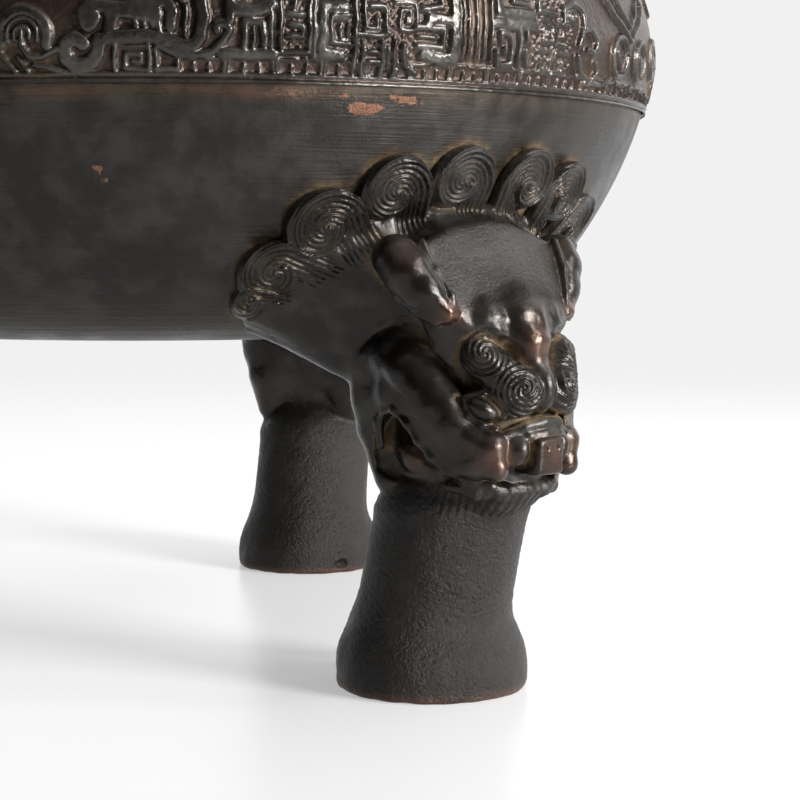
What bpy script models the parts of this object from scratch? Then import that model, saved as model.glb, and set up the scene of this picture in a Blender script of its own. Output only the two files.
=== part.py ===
"""Bronze tripod incense burner: a hollow round bowl on three lion-mask legs.

Metres, +Z up. The origin is on the floor, under the middle of the whole burner's box.
The front leg faces -Y, the other two are the same casting a third of a turn on.
Each leg is cast on its own, with its mask and the fan of curls that lies on the bowl.
"""
import math

import bmesh
import bpy
from mathutils import Matrix, Vector

# Bowl
BOWL_DIAMETER = 0.300      # over the widest ring of the frieze
WIDEST_UP = 0.176          # height of that ring above the floor
UNDERSIDE_UP = 0.0945      # height of the flat underside
UNDERSIDE_DIAMETER = 0.176
WALL = 0.0055
BAND_LOW = 0.1595          # lower edge of the raised frieze band
BAND_HIGH = 0.2120         # its upper edge
BAND_STEP = 0.0012         # how far the band stands off the plain bowl
NECK_DIAMETER = 0.254
LIP_DIAMETER = 0.282
LIP_UP = 0.2455            # top of the lip

# Legs
LEG_CIRCLE = 0.2375        # diameter of the circle through the three feet
FOOT_DIAMETER = 0.0526
SHANK_DIAMETER = 0.0420
SHANK_UP = 0.049           # top of the plain shank, where the chin hair starts
LEG_LEAN = 0.27            # how far the shank leans out for each metre up
MASK_REACH = 0.1643        # tip of the nose from the bowl's axis
MASK_WIDTH = 0.054         # over the cheeks
MASK_UP = 0.137            # middle of the top curls
CURL_DIAMETER = 0.0212
CURL_THICK = 0.0045        # how far a curl stands off the bowl

GAP = 0.0003               # clearance between a leg and the bowl
TURN_STEPS = 48
HEAD_FACES = 1360          # faces kept in the head before it is fitted to shank and bowl

BOWL_R = BOWL_DIAMETER / 2
LEG_OUT = LEG_CIRCLE / 2
# only one nose faces -Y, so the bowl's axis stands back from the origin
AXIS_BACK = (MASK_REACH - BOWL_R) / 2


def bezier(start, pull_start, pull_end, end, count):
    """Points on a cubic curve, its first point left out."""
    points = []
    for i in range(1, count + 1):
        t = i / count
        s = 1 - t
        weights = (s ** 3, 3 * s * s * t, 3 * s * t * t, t ** 3)
        corners = (start, pull_start, pull_end, end)
        points.append(tuple(sum(w * c[k] for w, c in zip(weights, corners)) for k in (0, 1)))
    return points


def belly(count):
    """The bowl's side from its widest ring down to the flat underside."""
    drop = WIDEST_UP - UNDERSIDE_UP
    foot_r = UNDERSIDE_DIAMETER / 2
    return [(BOWL_R, WIDEST_UP)] + bezier(
        (BOWL_R, WIDEST_UP), (BOWL_R, WIDEST_UP - 0.303 * drop),
        (foot_r + 0.5 * (BOWL_R - foot_r), UNDERSIDE_UP), (foot_r, UNDERSIDE_UP), count)


def radius_at(up):
    """The bowl's outer radius at a height on its belly or its shoulder."""
    if up > WIDEST_UP:
        return BOWL_R - (BOWL_R - 0.9733 * BOWL_R) * ((up - WIDEST_UP) / 0.0192) ** 2
    points = belly(48)
    for (r1, z1), (r2, z2) in zip(points, points[1:]):
        if z2 <= up <= z1:
            return r1 + (r2 - r1) * (z1 - up) / max(z1 - z2, 1e-9)
    return UNDERSIDE_DIAMETER / 2


def outer_profile():
    """The outside from the top of the lip down to the underside's middle."""
    lip_r, neck_r = LIP_DIAMETER / 2, NECK_DIAMETER / 2
    lip_thick = 1.15 * WALL
    neck_up = BAND_HIGH + 0.42 * (LIP_UP - BAND_HIGH)
    shoulder_r = 0.5 * (neck_r + BOWL_R)
    points = [(lip_r - 0.35 * lip_thick, LIP_UP), (lip_r, LIP_UP - 0.35 * lip_thick),
              (lip_r, LIP_UP - 0.8 * lip_thick), (lip_r - 0.4 * lip_thick, LIP_UP - 1.2 * lip_thick)]
    points += bezier(points[-1], (neck_r, LIP_UP - 1.6 * lip_thick), (neck_r, neck_up + 0.003),
                     (neck_r, neck_up), 2)
    points += bezier(points[-1], (neck_r, neck_up - 0.005), (shoulder_r - 0.004, BAND_HIGH + 0.003),
                     (shoulder_r, BAND_HIGH + 0.0012), 2)
    points.append((shoulder_r + BAND_STEP, BAND_HIGH))
    points += bezier(points[-1], (0.967 * BOWL_R, BAND_HIGH - 0.008), (BOWL_R, WIDEST_UP + 0.018),
                     (BOWL_R, WIDEST_UP), 3)
    points.append((radius_at(BAND_LOW + 0.009), BAND_LOW + 0.009))
    points.append((radius_at(BAND_LOW), BAND_LOW))
    sides = [(r, z) for r, z in belly(8)[1:] if z < BAND_LOW - 0.003]
    points.append((radius_at(BAND_LOW - 0.001) - BAND_STEP, BAND_LOW - 0.001))
    points += [(r - BAND_STEP * max(0.0, (z - UNDERSIDE_UP) / (BAND_LOW - UNDERSIDE_UP)), z)
               for r, z in sides]
    points.append((0.0, UNDERSIDE_UP))
    return points


def inner_profile():
    """The hollow from the middle of its floor up to the top of the lip."""
    neck_r = NECK_DIAMETER / 2 - WALL
    floor_r = UNDERSIDE_DIAMETER / 2
    floor_up = UNDERSIDE_UP + WALL
    wide_r = BOWL_R - WALL - BAND_STEP
    neck_up = BAND_HIGH + 0.42 * (LIP_UP - BAND_HIGH)
    drop = WIDEST_UP - floor_up
    points = [(0.0, floor_up), (floor_r, floor_up)]
    points += bezier(points[-1], (floor_r + 0.5 * (wide_r - floor_r), floor_up),
                     (wide_r, WIDEST_UP - 0.303 * drop), (wide_r, WIDEST_UP), 4)
    points += bezier(points[-1], (wide_r, WIDEST_UP + 0.018), (neck_r, BAND_HIGH - 0.002),
                     (neck_r, neck_up), 2)
    points += bezier(points[-1], (neck_r, neck_up + 0.008),
                     (LIP_DIAMETER / 2 - 0.010, LIP_UP - 0.001), (LIP_DIAMETER / 2 - 0.006, LIP_UP), 1)
    return points


def turned(name, profile):
    """An object turned from a profile of (radius, height) points round the Z axis."""
    mesh = bpy.data.meshes.new(name)
    corners = [(r, 0.0, z) for r, z in profile]
    mesh.from_pydata(corners, [(i, i + 1) for i in range(len(corners) - 1)], [])
    turned_object = bpy.data.objects.new(name, mesh)
    screw = turned_object.modifiers.new("Turn", "SCREW")
    screw.steps = screw.render_steps = TURN_STEPS
    screw.use_merge_vertices = True
    screw.merge_threshold = 0.0001
    screw.use_smooth_shade = True
    return turned_object


def spot(out, side, up):
    """A place on the front leg's mask.

    out is 0 on the foot's axis and 1 at the tip of the nose, side is -1 and 1 at the cheeks,
    and up is 0 where the chin hair starts and 1 at the middle of the top curl.
    """
    return Vector((side * MASK_WIDTH / 2, -(LEG_OUT + out * (MASK_REACH - LEG_OUT)),
                   SHANK_UP + up * (MASK_UP - SHANK_UP)))


def ball(shape, centre, radii, turn=None, fine=2):
    """An ellipsoid, radii across, in and out, up and down."""
    matrix = Matrix.Translation(centre) @ (turn or Matrix()) @ Matrix.Diagonal((*radii, 1.0))
    bmesh.ops.create_icosphere(shape, subdivisions=fine, radius=1.0, matrix=matrix)


def limb(shape, path):
    """A round limb through (centre, radius) stations, as overlapping balls."""
    for (start, r1), (end, r2) in zip(path, path[1:]):
        count = max(2, math.ceil((end - start).length / (0.5 * min(r1, r2))))
        for i in range(count + 1):
            t = i / count
            radius = r1 + (r2 - r1) * t
            ball(shape, start.lerp(end, t), (radius,) * 3)


def both_sides(add, shape, path):
    """The same limb on the left and mirrored on the right."""
    add(shape, path)
    add(shape, [(Vector((-centre.x, centre.y, centre.z)), radius) for centre, radius in path])


def shank_profile():
    """(height, radius) stations of the leg's column, from the foot up into the head."""
    foot, shank = FOOT_DIAMETER / 2, SHANK_DIAMETER / 2
    rim = 0.0090
    stations = [(0.0, foot - 0.0011), (0.0012, foot), (rim, foot - 0.0003)]
    for share in (0.15, 0.32, 0.54, 1.0):
        stations.append((rim + 0.022 * share, foot - (foot - shank) * (1 - (1 - share) ** 2)))
    stations += [(0.83 * SHANK_UP, shank), (SHANK_UP, shank + 0.0012), (SHANK_UP + 0.010, 0.84 * shank),
                 (UNDERSIDE_UP + 0.008, 0.80 * shank)]
    return stations


def shank_axis(up):
    """How far out the column's middle is at a height: upright over the foot, then leaning."""
    return LEG_OUT + LEG_LEAN * min(max(0.0, up - 0.4 * SHANK_UP), 0.76 * SHANK_UP)


def shank():
    """The column as a loft of rings, so that its foot is flat and its top leans out."""
    corners = 30
    shape = bmesh.new()
    rings = []
    for up, radius in shank_profile():
        turns = [2 * math.pi * k / corners for k in range(corners)]
        rings.append([shape.verts.new((radius * math.sin(turn), -shank_axis(up) - radius * math.cos(turn), up))
                      for turn in turns])
    shape.faces.new(reversed(rings[0]))
    shape.faces.new(rings[-1])
    for low, high in zip(rings, rings[1:]):
        for k in range(corners):
            n = (k + 1) % corners
            shape.faces.new((low[k], low[n], high[n], high[k]))
    mesh = bpy.data.meshes.new("shank")
    shape.to_mesh(mesh)
    shape.free()
    return bpy.data.objects.new("shank_shape", mesh)


def add_mask(shape):
    """Forehead, brows, nose, cheeks, jaw and ears."""
    unit = MASK_WIDTH / 54
    # skull behind the face, forehead up to the hair, and the bulge over the brows
    ball(shape, spot(0.20, 0, 0.42), (25 * unit, 23 * unit, 30 * unit), fine=3)
    ball(shape, spot(0.25, 0, 0.72), (27 * unit, 15 * unit, 22 * unit), fine=3)
    ball(shape, spot(0.55, 0, 0.57), (23 * unit, 14 * unit, 13 * unit), fine=3)
    ball(shape, spot(0.81, 0, 0.53), (6.5 * unit, 6 * unit, 6 * unit))
    # nose bridge and nose block
    limb(shape, [(spot(0.73, 0, 0.48), 7 * unit), (spot(0.85, 0, 0.40), 7 * unit),
                 (spot(0.84, 0, 0.30), 7.5 * unit)])
    ball(shape, spot(0.85, 0, 0.215), (12.5 * unit, 7 * unit, 6.8 * unit))
    # flesh behind the muzzle, between the cheeks and the lips
    ball(shape, spot(0.55, 0, 0.30), (15 * unit, 11 * unit, 11 * unit))
    ball(shape, spot(0.56, 0, 0.16), (13 * unit, 10 * unit, 9 * unit))
    for side in (-1, 1):
        ball(shape, spot(0.86, 0.33 * side, 0.21), (5.4 * unit, 5.8 * unit, 5.8 * unit))
        # the brow's outer and inner lobes, the eye under them
        ball(shape, spot(0.72, 0.54 * side, 0.51), (7.5 * unit, 6 * unit, 7.5 * unit))
        ball(shape, spot(0.87, 0.31 * side, 0.41), (7 * unit, 6 * unit, 7.5 * unit))
        ball(shape, spot(0.74, 0.53 * side, 0.345), (6.5 * unit, 5 * unit, 4.5 * unit))
        # ear: a long lobe from the hair down to a small bulb
        limb(shape, [(spot(0.41, 1.11 * side, 0.80), 5 * unit), (spot(0.50, 0.98 * side, 0.71), 6.2 * unit),
                     (spot(0.61, 0.83 * side, 0.62), 4.3 * unit)])
    # cheek: its upper fold, then the lip's edge, both sweeping forward to a pointed corner
    both_sides(limb, shape, [(spot(-0.01, 0.76, 0.48), 7 * unit), (spot(0.27, 0.76, 0.475), 6.6 * unit),
                             (spot(0.43, 0.72, 0.445), 6.3 * unit), (spot(0.555, 0.67, 0.39), 6 * unit),
                             (spot(0.655, 0.64, 0.325), 5.6 * unit), (spot(0.75, 0.54, 0.25), 4.8 * unit),
                             (spot(0.82, 0.41, 0.19), 3.2 * unit)])
    both_sides(limb, shape, [(spot(0.07, 0.72, 0.365), 5.4 * unit), (spot(0.31, 0.76, 0.35), 5.4 * unit),
                             (spot(0.445, 0.74, 0.28), 5.2 * unit), (spot(0.555, 0.69, 0.215), 4.8 * unit),
                             (spot(0.675, 0.56, 0.165), 4.2 * unit), (spot(0.785, 0.39, 0.15), 3.6 * unit)])
    # back of the jaw, the lower lip's roll, and the chin
    both_sides(limb, shape, [(spot(-0.02, 0.55, 0.44), 9 * unit), (spot(-0.02, 0.53, 0.28), 8 * unit),
                             (spot(0.07, 0.52, 0.15), 7 * unit), (spot(0.335, 0.63, 0.10), 4.5 * unit),
                             (spot(0.51, 0.55, 0.085), 4 * unit), (spot(0.65, 0.37, 0.075), 3.8 * unit)])
    ball(shape, spot(0.31, 0, 0.10), (21 * unit, 17 * unit, 9 * unit))
    ball(shape, spot(0.58, 0, 0.085), (11.5 * unit, 8.5 * unit, 6.5 * unit))


def on_bowl(angle, up, proud):
    """A place on the bowl beside the front leg, and the frame whose Y axis points straight out."""
    radius = radius_at(up)
    slope = (radius_at(up + 0.002) - radius_at(up - 0.002)) / 0.004
    tilt = math.atan(slope)
    outward = Vector((math.sin(angle) * math.cos(tilt), -math.cos(angle) * math.cos(tilt),
                      -math.sin(tilt)))
    across = Vector((math.cos(angle), math.sin(angle), 0.0))
    upward = across.cross(-outward)
    frame = Matrix((across, outward, upward)).transposed().to_4x4()
    foot = Vector((radius * math.sin(angle), -radius * math.cos(angle), up))
    return foot + outward * proud, frame


def curl_places():
    """(angle, height, share of full size) of one side's curls, from the middle to the end."""
    step = CURL_DIAMETER / BOWL_R
    return [(0.55 * step, MASK_UP, 1.0), (1.52 * step, MASK_UP - 0.003, 1.0),
            (2.44 * step, MASK_UP - 0.0117, 1.03), (3.02 * step, MASK_UP - 0.0238, 0.92),
            (3.20 * step, MASK_UP - 0.0325, 0.55)]


def add_mane(shape):
    """The fan of curls on the bowl, and the hair that runs from them down to the face."""
    places = curl_places()
    for angle, up, size in places:
        radius = size * CURL_DIAMETER / 2
        for side in (-1, 1):
            centre, frame = on_bowl(side * angle, up, 0.0)
            ball(shape, centre, (radius, CURL_THICK, radius), frame, 3)
            low, frame = on_bowl(0.88 * side * angle, up - 0.95 * radius, 0.0)
            ball(shape, low, (1.1 * radius, 0.9 * CURL_THICK, 0.8 * radius * size), frame)
    places.insert(0, (0.0, MASK_UP - 0.004, 1.0))
    strands = 3 * (len(places) - 1)
    for strand in range(strands + 1):
        share = strand / 3
        number = min(int(share), len(places) - 2)
        blend = share - number
        (angle, up, _), (next_angle, next_up, _) = places[number], places[number + 1]
        angle += (next_angle - angle) * blend
        up += (next_up - up) * blend
        along = strand / strands
        for side in (-1, 1):
            root, _ = on_bowl(0.94 * side * angle, up - CURL_DIAMETER * (0.42 - 0.40 * along), 0.0)
            end = spot(0.36 - 0.51 * along, min(0.20 + 1.6 * along, 0.80 - 0.13 * along) * side,
                       0.78 - 0.28 * along)
            limb(shape, [(root, 0.0042 - 0.0012 * along), (end, 0.0075 - 0.0020 * along)])


def head():
    """Mask and mane run together into one skin."""
    shape = bmesh.new()
    add_mask(shape)
    add_mane(shape)
    mesh = bpy.data.meshes.new("head")
    shape.to_mesh(mesh)
    shape.free()
    skin = bpy.data.objects.new("head_shape", mesh)
    join = skin.modifiers.new("Run together", "REMESH")
    join.mode = "VOXEL"
    join.voxel_size = 0.0014
    soften = skin.modifiers.new("Soften", "SMOOTH")
    soften.factor, soften.iterations = 0.5, 2
    return skin


def mouth_cutter():
    """Solid whose shape is taken out of each cheek: the open corner of the mouth."""
    unit = MASK_WIDTH / 54
    shape = bmesh.new()
    for side in (-1, 1):
        for out, across, up, wide in ((0.245, 0.95, 0.285, 4.8), (0.26, 0.92, 0.22, 5.6),
                                      (0.37, 0.87, 0.17, 4.6), (0.49, 0.79, 0.13, 3.2)):
            ball(shape, spot(out, across * side, up), (8.5 * unit, wide * unit, wide * unit))
    mesh = bpy.data.meshes.new("mouth")
    shape.to_mesh(mesh)
    shape.free()
    cutter = bpy.data.objects.new("mouth_space", mesh)
    join = cutter.modifiers.new("Run together", "REMESH")
    join.mode = "VOXEL"
    join.voxel_size = 0.0012
    return cutter


def metal(name, colour, roughness):
    """Cast bronze of one tone."""
    material = bpy.data.materials.new(name)
    material.use_nodes = True
    shader = material.node_tree.nodes["Principled BSDF"]
    shader.inputs["Base Color"].default_value = (*colour, 1.0)
    shader.inputs["Roughness"].default_value = roughness
    shader.inputs["Metallic"].default_value = 0.9
    material.diffuse_color = (*colour, 1.0)
    return material


def settled(source, name):
    """A new object with the mesh that the modifiers of another give."""
    bpy.context.view_layer.update()
    view = source.evaluated_get(bpy.context.evaluated_depsgraph_get())
    mesh = bpy.data.meshes.new_from_object(view)
    mesh.name = name
    return bpy.data.objects.new(name, mesh)


def main():
    for old in list(bpy.data.objects):
        bpy.data.objects.remove(old, do_unlink=True)
    scene = bpy.context.scene
    burner = bpy.data.collections.new("tripod_incense_burner")
    cutters = bpy.data.collections.new("cutters")
    scene.collection.children.link(burner)
    scene.collection.children.link(cutters)
    bowl_bronze = metal("bowl_bronze", (0.060, 0.046, 0.036), 0.33)
    leg_bronze = metal("leg_bronze", (0.072, 0.054, 0.040), 0.42)

    outside = outer_profile()
    bowl = turned("bowl", inner_profile() + outside)
    bowl.data.materials.append(bowl_bronze)
    bowl.location = (0.0, AXIS_BACK, 0.0)
    burner.objects.link(bowl)

    room = turned("bowl_space", [(0.0, LIP_UP)] + [(r + GAP if r else 0.0, z - GAP * (z < BAND_LOW))
                                                     for r, z in outside])
    mouth = mouth_cutter()
    shape = head()
    column = shank()
    for helper in (room, mouth, shape, column):
        cutters.objects.link(helper)
        helper.hide_render = True
        helper.display_type = "WIRE"

    leg = settled(shape, "leg")
    cutters.objects.link(leg)
    carve = leg.modifiers.new("Mouth", "BOOLEAN")
    carve.object = mouth
    thin = leg.modifiers.new("Thin out", "DECIMATE")
    thin.ratio = HEAD_FACES / (2 * len(leg.data.polygons))
    stand = leg.modifiers.new("Stand on the shank", "BOOLEAN")
    stand.operation = "UNION"
    stand.object = column
    fit = leg.modifiers.new("Fit to the bowl", "BOOLEAN")
    fit.object = room
    fitted = settled(leg, "leg_mesh")
    bpy.data.objects.remove(leg, do_unlink=True)
    for number, name in enumerate(("leg_front", "leg_right", "leg_left")):
        copy = bpy.data.objects.new(name, fitted.data)
        copy.rotation_euler = (0.0, 0.0, math.radians(120 * number))
        copy.location = (0.0, AXIS_BACK, 0.0)
        burner.objects.link(copy)
    fitted.data.materials.clear()
    fitted.data.materials.append(leg_bronze)
    fitted.data.shade_smooth()
    fitted.data.set_sharp_from_angle(angle=math.radians(40))
    bpy.data.objects.remove(fitted, do_unlink=True)


main()
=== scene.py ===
"""Bronze tripod incense burner: the looks of its bowl and legs, with camera, light and floor.

Each leg and the bowl are sculpted afresh over their solids. A leg is a field of blended forms,
in millimetres in its own frame: out from the bowl's axis, sideways, up.
"""

import math

import bpy
import numpy as np
from mathutils import Matrix, Vector


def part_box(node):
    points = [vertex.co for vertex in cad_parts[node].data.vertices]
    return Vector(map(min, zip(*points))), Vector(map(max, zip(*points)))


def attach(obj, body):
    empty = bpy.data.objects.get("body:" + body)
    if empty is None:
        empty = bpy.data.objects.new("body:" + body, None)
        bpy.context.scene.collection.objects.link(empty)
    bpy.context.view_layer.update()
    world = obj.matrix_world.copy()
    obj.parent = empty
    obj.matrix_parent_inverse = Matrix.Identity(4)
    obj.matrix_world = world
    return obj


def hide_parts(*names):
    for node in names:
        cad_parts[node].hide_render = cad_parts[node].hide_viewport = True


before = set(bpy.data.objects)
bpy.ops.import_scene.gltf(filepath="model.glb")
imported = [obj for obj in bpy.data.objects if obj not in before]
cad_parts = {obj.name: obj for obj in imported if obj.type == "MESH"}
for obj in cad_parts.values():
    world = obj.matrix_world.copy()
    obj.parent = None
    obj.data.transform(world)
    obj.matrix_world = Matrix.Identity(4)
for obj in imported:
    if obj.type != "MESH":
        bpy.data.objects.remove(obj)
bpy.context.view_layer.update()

# camera, in the part's frame: where it stands, where it looks and its angle of view
CAMERA_AT = (-0.3603, -0.4978, 0.1214)
HEADING = 42.085            # degrees from +Y towards +X
LOOK_DOWN = 4.670
ROLL = 0.102
LENS = 87.575
SENSOR = 36                 # its width in mm

# the bowl in millimetres, read from its solid where it shows there
BOX_LOW, BOX_HIGH = (np.array(corner) * 1000 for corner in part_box("bowl"))
BOWL_R = (BOX_HIGH[0] - BOX_LOW[0]) / 2
AXIS_BACK = (BOX_HIGH[1] + BOX_LOW[1]) / 2
UNDERSIDE = BOX_LOW[2]
LIP_TOP = BOX_HIGH[2]
WIDEST = 176.0
BAND_LOW, BAND_HIGH = 159.5, 212.0
BAND_STEP = 1.2
FLAT_R = 88.0               # radius of the flat underside
BELLY_PULL = 0.303          # share of the drop over which the side stays near upright
BAND_LEAN = 0.0267          # share of the radius by which the band leans in, LEAN_OVER above WIDEST
LEAN_OVER = 19.2
GAP = 0.3                   # between a leg and the bowl

# the leg in millimetres
FOOT_OUT = BOWL_R - 31.25   # the foot's axis from the bowl's axis
SHANK_TOP = 49.0
CURL_R = 10.6
STRAND = 1.4                # from one engraved hair line to the next
CELL = 0.38
LEG_TRIANGLES = 165000
FRIEZE_TRIANGLES = 104000


def belly_curve(count=200):
    """(radius, height) of the bowl's side from its widest ring down to the flat underside."""
    t = np.linspace(0, 1, count)[:, None]
    drop = WIDEST - UNDERSIDE
    corners = np.array([(BOWL_R, WIDEST), (BOWL_R, WIDEST - BELLY_PULL * drop),
                        ((BOWL_R + FLAT_R) / 2, UNDERSIDE), (FLAT_R, UNDERSIDE)])
    weights = ((1 - t) ** 3, 3 * (1 - t) ** 2 * t, 3 * (1 - t) * t ** 2, t ** 3)
    return sum(w * c for w, c in zip(weights, corners))


BELLY = belly_curve()[::-1]


def bowl_radius(z):
    """Outer radius of the plain bowl, or of the band's ground above BAND_LOW, at a height."""
    low = np.interp(z, BELLY[:, 1], BELLY[:, 0])
    high = BOWL_R - BAND_LEAN * BOWL_R * (np.maximum(z - WIDEST, 0) / LEAN_OVER) ** 2
    step = BAND_STEP * np.clip((z - UNDERSIDE) / (BAND_LOW - UNDERSIDE), 0, 1)
    return np.where(z > WIDEST, high, low) - step


def off_bowl(p):
    """Distance of points outside the bowl, below 0 within it."""
    radius = np.hypot(p[:, 0], p[:, 1])
    z = p[:, 2]
    slope = (bowl_radius(z + 1) - bowl_radius(z - 1)) / 2
    beside = (radius - bowl_radius(z)) / np.sqrt(1 + np.clip(slope, -2, 2) ** 2)
    return np.maximum(beside, UNDERSIDE - z)


# Blended forms. Each gives distances of points p (out, side, up) from its surface, below 0 inside.

def ball(p, centre, radii):
    """A ball with its own radius each way."""
    q = (p - np.array(centre, np.float32)) / np.array(radii, np.float32)
    k0 = np.linalg.norm(q, axis=1)
    k1 = np.linalg.norm(q / np.array(radii, np.float32), axis=1)
    return k0 * (k0 - 1) / np.maximum(k1, 1e-6)


def rod(p, start, end):
    """A round rod between two (out, side, up, radius) stations."""
    a, b = np.array(start[:3], np.float32), np.array(end[:3], np.float32)
    along = np.clip((p - a) @ (b - a) / max(float((b - a) @ (b - a)), 1e-6), 0, 1)
    near = a + along[:, None] * (b - a)
    return np.linalg.norm(p - near, axis=1) - (start[3] + along * (end[3] - start[3]))


def merge(a, b, k):
    """Smooth union over a distance k."""
    h = np.maximum(k - np.abs(a - b), 0) / k
    return np.minimum(a, b) - h * h * k / 4


def carve(a, b, k):
    """a without b, its edge rounded over k."""
    return -merge(-a, b, k)


def overlap(a, b, k):
    """What lies inside both forms, its edge rounded over k."""
    return -merge(-a, -b, k)


def outline(x, y, corners):
    """Distance from a closed outline of (x, y) corners, below 0 inside it."""
    best, sign = np.full(len(x), 1e9), np.ones(len(x))
    for (x0, y0), (x1, y1) in zip(corners, corners[1:] + corners[:1]):
        ex, ey, wx, wy = x1 - x0, y1 - y0, x - x0, y - y0
        t = np.clip((wx * ex + wy * ey) / (ex * ex + ey * ey), 0, 1)
        best = np.minimum(best, (wx - t * ex) ** 2 + (wy - t * ey) ** 2)
        above = ex * wy > ey * wx
        crossed = ((y >= y0) & (y < y1) & above) | ((y < y0) & (y >= y1) & ~above)
        sign = np.where(crossed, -sign, sign)
    return sign * np.sqrt(best)


class Clay:
    """Distances at a set of points, to which forms are added near where they lie."""

    def __init__(self, points):
        self.p = points
        self.d = np.full(len(points), 50.0, np.float32)

    def near(self, stations, reach):
        """Indices of the points within a box round some (out, side, up, radius) stations."""
        s = np.array(stations, float)
        low = (s[:, :3] - s[:, 3:4]).min(0) - reach
        high = (s[:, :3] + s[:, 3:4]).max(0) + reach
        return np.flatnonzero(((self.p > low) & (self.p < high)).all(1))

    def put(self, at, distance, k, away):
        if len(at):
            self.d[at] = carve(self.d[at], distance, k) if away else merge(self.d[at], distance, k)

    def ball(self, centre, radii, k=2.0, away=False):
        at = self.near([(*centre, max(radii))], 6 + k)
        self.put(at, ball(self.p[at], centre, radii), k, away)

    def rods(self, stations, k=2.0, inner=1.0, away=False):
        """A limb through stations, its rods blended by inner, then put on by k."""
        at = self.near(stations, 6 + k)
        if not len(at):
            return
        q = self.p[at]
        limb = rod(q, stations[0], stations[1])
        for start, end in zip(stations[1:], stations[2:]):
            limb = merge(limb, rod(q, start, end), inner)
        self.put(at, limb, k, away)


def waves(p, length, seed):
    """Smooth wandering numbers about -1 to 1, from a few crossed waves of one length."""
    rng = np.random.default_rng(seed)
    total = np.zeros(len(p), np.float32)
    for _ in range(7):
        way = rng.normal(size=3)
        way *= rng.uniform(0.7, 1.4) * 2 * math.pi / length / np.linalg.norm(way)
        total += np.sin(p @ way.astype(np.float32) + np.float32(rng.uniform(0, 2 * math.pi)))
    return total / 3.2


def ramp(x, low, high):
    """0 below low, 1 above high, smooth between."""
    t = np.clip((x - low) / (high - low), 0, 1)
    return t * t * (3 - 2 * t)


# Shank and foot: (height, radius) stations of the column
SHANK = np.array([(-5, 25.6), (0, 25.9), (2, 26.3), (6, 26.3), (9.3, 26.0), (12.1, 25.3), (14.8, 24.2),
                  (17.5, 23.0), (20.3, 22.1), (23.2, 21.5), (27, 21.1), (38, 20.9), (46, 20.8), (50, 21.2),
                  (53, 20.5), (60, 17), (75, 15), (100, 14)])


def shank_axis(z):
    """How far out the column's middle is: upright over the foot, then leaning out."""
    return FOOT_OUT + 0.27 * np.clip(z - 0.4 * SHANK_TOP, 0, 0.76 * SHANK_TOP)


def shank(p):
    side = np.hypot(p[:, 0] - shank_axis(p[:, 2]), p[:, 1]) - np.interp(p[:, 2], SHANK[:, 0], SHANK[:, 1])
    side = np.maximum(side, p[:, 2] - 96)
    return -merge(-side.astype(np.float32), p[:, 2], 1.2)


FOOT_CHIP = (100.6, -20.1, 3.4)      # where a bit of the foot's rim is gone

# Limbs of the mask, on one side, as stations (out, side, up, radius).
# The cheek is two limbs from the jaw to the corner of the mouth, filled between.
CHEEK_TOP = [(118.5, 21.0, 91.4, 6.6), (128.0, 21.2, 91.4, 6.2), (135.0, 21.6, 88.6, 6.0),
             (139.2, 20.6, 84.4, 5.6), (142.8, 19.8, 79.6, 5.3), (146.2, 18.4, 74.8, 4.9),
             (150.4, 15.6, 71.0, 4.4)]
CHEEK_LOW = [(118.0, 18.5, 80.5, 6.0), (127.5, 21.2, 82.0, 5.0), (134.5, 20.2, 80.4, 4.9),
             (140.0, 18.6, 73.6, 4.7), (143.6, 17.0, 68.6, 4.5), (147.0, 15.6, 65.2, 4.3),
             (150.6, 14.2, 65.0, 4.2)]
CHEEK_FILL = 0.94           # radius between the two limbs, as a share of theirs
CORNER = [(150.6, 14.8, 70.4, 4.4), (155.4, 13.2, 69.4, 3.7), (156.8, 12.6, 63.6, 2.9),
          (151.0, 14.8, 64.8, 4.2), (155.4, 13.2, 69.4, 3.7)]
JAW_BACK = [(118.0, 15, 88, 9.5), (118.0, 14.6, 72, 8.5), (121.5, 14.0, 60, 7.0)]
LIP_LINE = [(121.5, 21.4, 68.0, 1.2), (122.6, 23.0, 73.6, 1.2), (126.5, 24.4, 77.4, 1.25),
            (131.5, 24.6, 77.8, 1.3), (136.2, 24.0, 74.8, 1.3), (139.4, 22.8, 70.4, 1.3),
            (142.6, 21.2, 66.0, 1.3), (146.0, 18.8, 62.2, 1.35), (149.4, 15.2, 59.6, 1.4),
            (152.6, 10.8, 58.2, 1.5)]
LOWER_LIP = [(144.5, 16.6, 58.2, 1.9), (149.4, 13.4, 57.0, 2.3), (152.6, 7.5, 56.8, 2.3),
             (153.8, 0, 57.0, 2.3)]
# outline, from the side, of the open corner of the mouth: (out, up), and how deep it is cut
MOUTH = [(119.5, 66), (121.5, 72.5), (124.5, 75.8), (129, 76.6), (133.5, 75.4), (136.8, 71.6),
         (139.6, 67.4), (143.0, 63.4), (147.0, 60.2), (146.0, 58.8), (140, 59.6), (133, 59.0),
         (125, 59.5), (120, 61.5)]
MOUTH_FLOOR = 17.6
IN_MOUTH = [(125.0, 15.0, 68.5, 4.4), (131, 15.2, 65.5, 4.8), (137, 13.6, 62.0, 4.2)]
NOSE, NOSE_HALF = (158.6, 0, 66.2), (4.4, 3.6, 3.5)
FOLD_TOP = [(160.4, 0, 74.4, 1.6), (159.6, 5.5, 74.0, 1.5), (157.4, 9.8, 71.8, 1.4), (155.4, 12.8, 68.8, 0.9)]
FOLD_LOW = [(161.2, 0, 71.6, 1.2), (160.4, 5.0, 71.6, 1.2), (158.4, 8.8, 70.2, 1.0), (157.0, 11.0, 67.6, 0.7)]
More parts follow.
